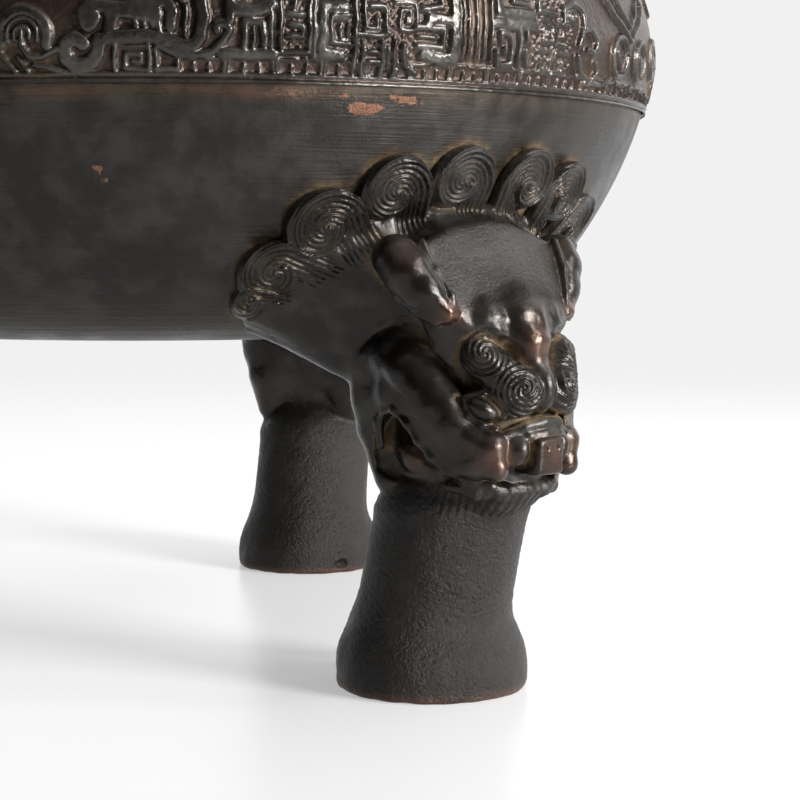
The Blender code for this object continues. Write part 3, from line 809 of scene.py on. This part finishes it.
def blocks():
    """Hooked bars and square brackets between the dragon and the middle."""
    return [
        (2, [(-79.1, 184), (-79.1, 174.4)]), (2.2, [(-77.7, 176.8), (-73.9, 176.2), (-69, 178)]),
        (1.5, [(-75.6, 167), (-75.6, 173.7), (-71.2, 173.7), (-70.9, 168.4)]),
        (1.1, [(-73.5, 171.8), (-73.5, 167.4)]),
        (2, [(-81, 166.2), (-68.4, 166.2)]), (1.5, [(-69.2, 176), (-69.2, 166.4)]),
        (1, [(-66.8, 180), (-59.6, 180), (-59.6, 166.8), (-66.8, 166.8), (-66.8, 180)]),
        (1.3, [(-65, 176), (-61.4, 176)]), (1.3, [(-65, 170.6), (-61.4, 170.6), (-61.4, 173.4),
                                                  (-64.6, 173.4)]),
        (1.2, [(-63.2, 182), (-63.2, 177.5)]), (1.2, [(-58.4, 184), (-58.4, 165.8)]),
        (2, [(-50.2, 178), (-56.2, 178), (-56.4, 166.8), (-51.2, 166.4)]),
        (1.2, [(-49.6, 176), (-54, 176), (-54, 169.4), (-49.4, 169.4)]),
        square_spiral(-51.4, 172.8, 3.6, 4.6, 1, 0.8),
        (1.4, [(-47.6, 186), (-47.6, 163.8)]), (1.1,
                                                [(-45.2, 181), (-45.2, 173.4), (-42, 173.4), (-42, 175.6)]),
        (1.5, [(-44, 178.6), (-40, 178.6)]), (1.1, [(-39.4, 178), (-39.4, 171.8), (-46.6, 171.6)]),
        (1.1, [(-45.6, 169.6), (-45.6, 162)]), (1, [(-44.2, 167.6), (-41.6, 167.6)]),
        (1, [(-44.2, 165.2), (-41.6, 165.2)]),
        (1.3, [(-40.2, 170.2), (-40.2, 162)]), (1.1, [(-36.8, 170.4), (-36.8, 162.2)]),
        (1.1, [(-38.6, 168.8), (-38.6, 164)]), (1.3, [(-34.4, 169.6), (-33.6, 164.6), (-30.4, 163)]),
        square_spiral(-34, 176.6, 6.4, 6.6, 2, 0.85), (1.3, [(-37.2, 186), (-37.2, 181.4), (-30.4, 181.4)]),
        (2, [(-27.6, 174.6), (-26.8, 176.8), (-22.4, 176.2), (-19.6, 176)]),
        (2.2, [(-28.6, 167.6), (-25, 166.8), (-19.6, 167)]), (2.5, [(-19.2, 186), (-19.2, 167.2)]),
        (1.5, [(-31, 174), (-22.8, 174.2), (-22.8, 169.4), (-30.6, 169.6)]),
        (1, [(-30.4, 171.8), (-25.2, 171.8)]),
        (1.4, [(-29, 184), (-24, 183), (-23.2, 179.4), (-29, 178.8)])]


def middle():
    """The upright bar over the leg, and the hooked T beside it."""
    bars = [(1, [(s, 200), (s, 166.8)]) for s in (-16.6, -7.4)]
    ribs = [(0.8, [(s, 200), (s, 167.4)]) for s in (-14.6, -12, -9.5)]
    return bars + ribs + [
        (2.1, [(-6, 176.6), (8.4, 176.9)]), (1.6, [(3, 176), (3, 166.4)]),
        (1.4, [(-3.6, 172), (-4.4, 174.2), (-0.8, 174.2), (0.2, 171.2), (0.1, 166.6), (-4.6, 166.2),
               (-5.2, 169.6)]),
        (1.4, [(-2.4, 170.6), (-2.2, 169.6)]), (1.2, [(5.6, 175), (5.6, 172.4)]),
        (1.3, [(5, 170.6), (6.6, 167)]),
        (1.9, [(-4.8, 186), (-4.8, 179.6), (7.6, 179.8)]), (1.2, [(0.6, 186), (0.6, 182.4), (6, 182.4)]),
        square_spiral(13.4, 175.8, 6, 5.6, 2, 0.8), square_spiral(20, 175.4, 5.2, 5.4, 1, 0.9, -1),
        square_spiral(13, 168.4, 6, 5, 1, 0.9), square_spiral(20.6, 168.2, 5.6, 5, 1, 0.9, -1),
        (1.3, [(10.2, 186), (10.2, 180.8), (17, 180.8)])]


def right_scroll():
    """Small scrolls, a hanging leaf and two loops, right of the leg."""
    loops = [round_spiral(s, z, r, 90, 1, 1.3, 1) for s, z, r in ((54.5, 172.4, 5.6), (74, 172.4, 5.8))]
    return loops + [
        round_spiral(25.4, 180.6, 2.2, 0, 1.2, 0.9),
        (1.6, [(21, 178.8), (21.6, 182.6), (26, 184.4), (30.6, 182.4), (31.2, 178.4)]),
        (1.5, [(28.6, 173.4), (29.8, 177), (34.6, 178.4), (38, 175.4), (36.9, 172), (33.2, 172.4)]),
        (1.3, [(28, 170.6), (30.6, 166.4), (35, 165)]), (1.3, [(37.9, 169.6), (39.6, 167), (37.6, 165)]),
        (1.2, [(33.8, 163.8), (43, 164), (48.6, 166)]),
        (1.3, [(43, 190), (50.4, 183.6), (62.5, 177.4), (73, 183.8), (81, 190)]),
        (1, [(51, 190), (57, 184.6), (62.5, 181.2), (67.6, 184.8), (73, 190)]),
        (1.2, [(51.6, 173.6), (54.5, 169.6), (57.4, 173.6)]), (1.2, [(71, 173.6), (74, 169.6), (77, 173.6)])]


def beyond():
    """What the photograph cuts off: plain scrolls above, and more of the same round the side."""
    strokes = [round_spiral(s, 176, 7, 180 if k % 2 else 0, 1.4 if k % 2 else -1.4, 2, 0.25)
               for k, s in enumerate((96, 113, 130, 147, -146))]
    strokes += [(1.2, [(s, 168), (s, 163)]) for s in (104.5, 121.5, 138.5, -154, -137.5)]
    for k in range(10):
        s = -141.0 + 31.4 * k
        way = 1 if k % 2 else -1
        strokes.append(round_spiral(s, 194, 6.6, 90 + 90 * way, -1.3 * way, 2.2, 0.22))
        strokes.append((2.2, [(s + 6.6 * way, 194), (s + 9 * way, 199), (s + 15.7 * way, 200.5)]))
    return strokes


def key_rows():
    """Small keys in a row over the lower border and under the upper one."""
    low = [square_spiral(s, 163.3, 5, 3.8, 1, 0.66, 1 if k % 2 else -1)
           for k, s in enumerate(np.arange(-89, 96, 6.05))]
    dragon_side = [square_spiral(-102.6, 165.2, 7.2, 5.4, 2, 0.85), (1, [(-107, 168), (-107, 162.4)]),
                   (1, [(-98.6, 168.4), (-98.6, 162.2)]),
                   (1, [(-97, 167.4), (-97, 162.4), (-91.8, 162.6), (-91.8, 164.4)])]
    side = [square_spiral(s, 162.9, 5, 3, 1, 0.75) for s in np.arange(100, 156, 6.1)]
    top = [square_spiral(s, 206.2, 6.2, 3.4, 1, 0.9) for s in np.arange(-153.5, 156, 7.48)]
    return low + dragon_side + side + top


def frieze_height(s, z):
    """Height of the cast relief over its ground, and how much of it is a stroke's top."""
    height = np.zeros(s.shape)
    wander_s, wander_z = 0.16 * np.sin(z * 0.9 + s * 0.31), 0.14 * np.sin(s * 0.7 + z * 0.4)
    x, y = s + wander_s, z + wander_z
    strokes = dragon() + left_scroll() + blocks() + middle() + right_scroll() + beyond() + key_rows()
    cell = s[0, 1] - s[0, 0]
    for width, points in strokes:
        rise = 0.85 if width < 1.0 else 1.25
        half = width * (0.66 if width > 1.8 else 0.54)
        reach = half + 1.6
        for (x0, y0), (x1, y1) in zip(points, points[1:]):
            j0, j1 = [int((v - s[0, 0]) / cell) for v in (min(x0, x1) - reach, max(x0, x1) + reach)]
            j0, j1 = max(j0, 0), min(j1 + 1, s.shape[1])
            rows = np.flatnonzero((z[:, 0] > min(y0, y1) - reach) & (z[:, 0] < max(y0, y1) + reach))
            if j0 >= j1 or not len(rows):
                continue
            box = (slice(rows[0], rows[-1] + 1), slice(j0, j1))
            ex, ey = x1 - x0, y1 - y0
            t = np.clip(((x[box] - x0) * ex + (y[box] - y0) * ey) / max(ex * ex + ey * ey, 1e-9), 0, 1)
            far = np.hypot(x[box] - x0 - t * ex, y[box] - y0 - t * ey)
            height[box] = np.maximum(height[box], rise * ramp(far, half + 0.35, half - 0.35))
    filling = np.sin(2.6 * s + 0.9 * np.sin(1.3 * z)) * np.sin(2.7 * z + 0.9 * np.sin(1.1 * s))
    busy = np.maximum(ramp(s, -68, -66) * ramp(s, -17, -19), ramp(s, 8, 9) * ramp(s, 27, 25))
    height = np.maximum(height, 0.5 * busy * ramp(z, 166, 167) * ramp(filling, 0.05, 0.4))
    for low, high in ((BAND_LOW - 0.4, BAND_LOW + 0.75), (BAND_LOW + 1.55, BAND_LOW + 2.1),
                      (BAND_HIGH - 3.6, BAND_HIGH - 2.8), (BAND_HIGH - 1.8, BAND_HIGH + 1)):
        rising = 1.2 * ramp(z + 0.1 * wander_s, low - 0.3, low + 0.2)
        height = np.maximum(height, rising * ramp(z, high + 0.3, high - 0.2))
    return height


def make_frieze():
    """A third of the frieze, centred on the front leg."""
    cell = 0.42
    s = np.linspace(-60 * RING, 60 * RING, int(120 * RING / cell) + 1)
    z = np.linspace(BAND_LOW, BAND_HIGH, int((BAND_HIGH - BAND_LOW) / cell) + 1)
    s_grid, z_grid = np.meshgrid(s, z)
    height = frieze_height(s_grid, z_grid)
    flat = np.stack([s_grid.ravel(), z_grid.ravel(), np.zeros(s_grid.size)], 1).astype(np.float32)
    knocks = (0.05 * waves(flat, 3.0, 61) + 0.04 * waves(flat, 1.6, 62)).reshape(height.shape)
    radius = bowl_radius(z)[:, None] + height + knocks
    turns = s / BOWL_R
    corners = np.stack([radius * np.sin(turns), -radius * np.cos(turns), z_grid], -1)
    outward = [0, 3, 2, 1]
    faces = grid_faces(*height.shape, False)[:, outward]
    mesh = mesh_of("frieze_bronze_mesh", corners.reshape(-1, 3) * 0.001, faces)
    top = height.ravel()
    write_tint(mesh, 0.75 * ramp(top, 0.9, 0.1), 0 * top, 0.25 * ramp(top, 0.5, 0.0))
    return thinned(mesh, FRIEZE_TRIANGLES)


def add_camera():
    """The photograph's view."""
    camera = bpy.data.objects.new("camera", bpy.data.cameras.new("camera"))
    camera.data.lens = LENS
    camera.data.sensor_width = SENSOR
    camera.data.clip_start = 0.01
    camera.location = CAMERA_AT
    heading, down = math.radians(HEADING), math.radians(LOOK_DOWN)
    ahead = Vector((math.sin(heading) * math.cos(down), math.cos(heading) * math.cos(down), -math.sin(down)))
    turn = ahead.to_track_quat("-Z", "Y").to_matrix() @ Matrix.Rotation(math.radians(-ROLL), 3, "Z")
    camera.rotation_euler = turn.to_euler()
    bpy.context.scene.collection.objects.link(camera)
    bpy.context.scene.camera = camera


def principled(name, colour, roughness, metallic=0.0):
    material = bpy.data.materials.new(name)
    material.use_nodes = True
    shader = material.node_tree.nodes["Principled BSDF"]
    shader.inputs["Base Color"].default_value = (*colour, 1)
    shader.inputs["Roughness"].default_value = roughness
    shader.inputs["Metallic"].default_value = metallic
    return material


class Nodes:
    """Shorthand for adding nodes to a material and linking them."""

    def __init__(self, material):
        self.tree = material.node_tree
        self.shader = self.tree.nodes["Principled BSDF"]

    def add(self, kind, settings=None, **inputs):
        node = self.tree.nodes.new("ShaderNode" + kind)
        for key, value in (settings or {}).items():
            setattr(node, key, value)
        for key, value in inputs.items():
            self.set(node.inputs[key.replace("_", " ")], value)
        return node

    def set(self, socket, value):
        if isinstance(value, bpy.types.NodeSocket):
            self.tree.links.new(value, socket)
        else:
            socket.default_value = value

    def maths(self, way, a, b=0.0, clamp=False):
        node = self.add("Math", {"operation": way, "use_clamp": clamp})
        self.set(node.inputs[0], a)
        self.set(node.inputs[1], b)
        return node.outputs[0]

    def between(self, value, low, high, out_low=0.0, out_high=1.0):
        node = self.add("MapRange", {"interpolation_type": "SMOOTHSTEP"}, Value=value)
        for key, number in (("From Min", low), ("From Max", high), ("To Min", out_low), ("To Max", out_high)):
            self.set(node.inputs[key], number)
        return node.outputs[0]

    def noise(self, where, scale, detail=4.0, rough=0.55):
        node = self.add("TexNoise", None, Vector=where, Scale=scale, Detail=detail, Roughness=rough)
        return node.outputs["Fac"]

    def mix(self, share, a, b):
        node = self.add("Mix", {"data_type": "RGBA"})
        self.set(node.inputs["Factor"], share)
        self.set(node.inputs["A"], a if isinstance(a, bpy.types.NodeSocket) else (*a, 1))
        self.set(node.inputs["B"], b if isinstance(b, bpy.types.NodeSocket) else (*b, 1))
        return node.outputs["Result"]


# Colours of the bronze, from its darkest ground to what shows where it is dirty, worn or peeled, with the
# frieze's grey lightened as painted sheen
DARK = (0.010, 0.0085, 0.0075)
BROWN = (0.019, 0.0145, 0.011)
GREY = (0.032, 0.0295, 0.027)
GREY_ROUGH = (0.021, 0.0192, 0.018)
# the frieze's grey, lighter than the bronze's own grey: partly its tone, partly a painted sheen on the raised
# strokes
FRIEZE_GREY_AND_SHEEN = (0.068, 0.063, 0.055)
RED_GROUND = (0.030, 0.013, 0.008)
OCHRE = (0.15, 0.095, 0.040)
OCHRE_DEEP = (0.065, 0.040, 0.018)
WORN_RED = (0.085, 0.042, 0.027)
COPPER = (0.14, 0.066, 0.038)


def patina(name, brushed=0.0, ground=0.0, shine=0.30, top=GREY, peeling=False):
    """Dark bronze with residue in its hollows, rubbed where it is touched; ground reddens the low parts."""
    material = bpy.data.materials.new(name)
    material.use_nodes = True
    n = Nodes(material)
    where = n.add("TexCoord").outputs["Object"]
    tint = n.add("Attribute", {"attribute_name": "tint"})
    parts = n.add("SeparateColor", None, Color=tint.outputs["Color"])
    ochre, worn, rough = parts.outputs["Red"], parts.outputs["Green"], parts.outputs["Blue"]
    broad, middle, fine = n.noise(where, 22.0), n.noise(where, 90.0, 6.0), n.noise(where, 420.0, 5.0, 0.65)
    colour = n.mix(n.between(broad, 0.35, 0.68), DARK, BROWN)
    # mottled towards a grey tone; on the frieze that grey is lightened as a painted sheen
    colour = n.mix(n.between(middle, 0.42, 0.66, 0.3 if ground else 0.0, 0.85), colour, top)
    if not peeling:
        dull = n.maths("MULTIPLY", rough, n.between(fine, 0.3, 0.7, 0.1, 0.9))
        colour = n.mix(dull, colour, GREY_ROUGH)
    residue = n.maths("MULTIPLY", ochre, n.between(middle, 0.30, 0.62, 0.25, 1.0))
    if ground:
        colour = n.mix(n.maths("MULTIPLY", ochre, ground), colour, RED_GROUND)
        residue = n.maths("MULTIPLY", residue, n.between(broad, 0.5, 0.66, 0.05, 0.75))
    colour = n.mix(residue, colour, n.mix(n.between(fine, 0.35, 0.65), OCHRE_DEEP, OCHRE))
    rubbed = n.maths("MULTIPLY", worn, n.between(middle, 0.28, 0.58, 0.35, 1.0))
    colour = n.mix(rubbed, colour, WORN_RED)
    if peeling:
        ragged = n.maths("ADD", rough, n.maths("MULTIPLY", n.maths("SUBTRACT", fine, 0.5), 1.5))
        colour = n.mix(n.between(ragged, 0.52, 0.60), colour, COPPER)
    n.set(n.shader.inputs["Base Color"], colour)
    matt = n.between(middle, 0.3, 0.7, shine - 0.05, shine + 0.12)
    matt = n.maths("ADD", matt, n.maths("MULTIPLY", residue, 0.42))
    matt = n.maths("SUBTRACT", matt, n.maths("MULTIPLY", rubbed, 0.10))
    matt = n.maths("ADD", matt, n.maths("MULTIPLY", rough, 0.0 if peeling else 0.18), clamp=True)
    n.set(n.shader.inputs["Roughness"], matt)
    n.set(n.shader.inputs["Metallic"], n.between(residue, 0.15, 0.8, 0.6, 0.05))
    n.set(n.shader.inputs["Normal"], grained(n, where, rough, brushed))
    return material


def grained(n, where, rough, brushed):
    """Pits and grain, stronger where the casting is rough, with fine level scratches where it is brushed."""
    pits = n.add("TexVoronoi", {"feature": "SMOOTH_F1"}, Vector=where, Scale=800.0).outputs["Distance"]
    crust = n.noise(where, 780.0, 6.0, 0.7)
    grain = n.maths("ADD", crust, n.maths("MULTIPLY", n.between(pits, 0.0, 0.35), 0.25))
    bump = n.add("Bump", None, Height=grain, Distance=0.0007,
                 Strength=n.maths("ADD", n.maths("MULTIPLY", rough, 0.8), 0.16)).outputs["Normal"]
    if brushed:
        stretched = n.add("Mapping", None, Vector=where, Scale=(30.0, 30.0, 1100.0)).outputs["Vector"]
        lines = n.noise(stretched, 1.0, 4.0, 0.7)
        scratches = n.add("Bump", None, Height=lines, Distance=0.0004, Strength=brushed, Normal=bump)
        bump = scratches.outputs["Normal"]
    return bump


# floor in metres: its radius, and how far from the middle it begins to fade and is gone
FLOOR_R, FLOOR_FULL, FLOOR_GONE = 1.6, 0.45, 1.3


def add_floor():
    """A pale floor that the burner stands on, which fades into the background."""
    bpy.ops.mesh.primitive_circle_add(vertices=96, radius=FLOOR_R, fill_type="NGON")
    floor = bpy.context.object
    floor.name = "floor"
    paint = principled("floor_paint", (0.46, 0.46, 0.46), 0.28)
    floor.data.materials.append(paint)
    n = Nodes(paint)
    n.shader.inputs["Emission Color"].default_value = (1, 1, 1, 1)
    n.shader.inputs["Emission Strength"].default_value = 0.40
    where = n.add("TexCoord").outputs["Object"]
    far = n.add("VectorMath", {"operation": "LENGTH"}, Vector=where).outputs["Value"]
    n.set(n.shader.inputs["Alpha"], n.between(far, FLOOR_FULL, FLOOR_GONE, 1.0, 0.0))


def add_sky(world):
    """A studio that is bright behind the burner and to its right, and dark at the front and left."""
    tree = world.node_tree
    direction = tree.nodes.new("ShaderNodeTexCoord").outputs["Generated"]
    heading = math.radians(HEADING)
    ahead = (math.sin(heading), math.cos(heading), 0)
    rightward = (math.cos(heading), -math.sin(heading), 0)
    above = (0, 0, 1)
    total = 0.04
    glows = ((ahead, 0.35, 0.88, 0.84), (rightward, 0.45, 0.85, 0.55), (above, 0.35, 0.9, 0.5))
    for way, low, high, share in glows:
        dot = tree.nodes.new("ShaderNodeVectorMath")
        dot.operation = "DOT_PRODUCT"
        tree.links.new(direction, dot.inputs[0])
        dot.inputs[1].default_value = way
        step = tree.nodes.new("ShaderNodeMapRange")
        step.interpolation_type = "SMOOTHSTEP"
        tree.links.new(dot.outputs["Value"], step.inputs["Value"])
        step.inputs["From Min"].default_value, step.inputs["From Max"].default_value = low, high
        step.inputs["To Max"].default_value = share
        add = tree.nodes.new("ShaderNodeMath")
        if isinstance(total, float):
            add.inputs[0].default_value = total
        else:
            tree.links.new(total, add.inputs[0])
        tree.links.new(step.outputs["Result"], add.inputs[1])
        total = add.outputs[0]
    tree.links.new(total, tree.nodes["Background"].inputs["Strength"])


def add_light(name, place, aim, size, power):
    """A square soft light."""
    light = bpy.data.lights.new(name, "AREA")
    light.size, light.energy = size, power
    lamp = bpy.data.objects.new(name, light)
    lamp.location = place
    lamp.rotation_euler = (Vector(aim) - Vector(place)).to_track_quat("-Z", "Y").to_euler()
    bpy.context.scene.collection.objects.link(lamp)


def add_piece(name, mesh, material, turn, node=None):
    """A piece about the bowl's axis, turned in degrees; the node given, if any, is hidden."""
    mesh.materials.clear()
    mesh.materials.append(material)
    piece = bpy.data.objects.new(name, mesh)
    piece.location = (0, AXIS_BACK / 1000, 0)
    piece.rotation_euler = (0, 0, math.radians(turn))
    bpy.context.scene.collection.objects.link(piece)
    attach(piece, "root")
    if node:
        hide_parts(node)


leg_mesh = make_leg()
frieze_mesh = make_frieze()
leg_bronze = patina("leg_patina", shine=0.24)
belly_bronze = patina("belly_patina", brushed=0.55, peeling=True)
# the frieze's grey carries a painted sheen on its raised strokes
frieze_bronze = patina("frieze_patina", ground=0.9, shine=0.17, top=FRIEZE_GREY_AND_SHEEN)
rim_bronze = patina("rim_patina", brushed=0.3)
for number, node in enumerate(("leg_front", "leg_right", "leg_left")):
    add_piece(node + "_bronze", leg_mesh, leg_bronze, 120 * number, node)
    add_piece("frieze_bronze_%d" % number, frieze_mesh, frieze_bronze, 120 * number)
add_piece("belly_bronze", make_belly(), belly_bronze, 0, "bowl")
add_piece("rim_bronze", make_rim(), rim_bronze, 0, "bowl")
add_camera()
add_floor()
world = bpy.data.worlds.new("studio")
bpy.context.scene.world = world
world.use_nodes = True
world.node_tree.nodes["Background"].inputs["Color"].default_value = (1, 1, 1, 1)
add_sky(world)
bpy.context.scene.view_settings.view_transform = "Standard"
add_light("key", (0.36, -1.32, 0.44), (0, 0, 0.15), 0.42, 36)
add_light("high", (0.62, -0.95, 1.0), (0, 0, 0.12), 0.22, 5)
add_light("side", (1.5, -0.2, 0.7), (0, 0, 0.12), 0.9, 3)
add_light("top", (0.2, 0.1, 1.6), (0, 0, 0.1), 1.6, 3)
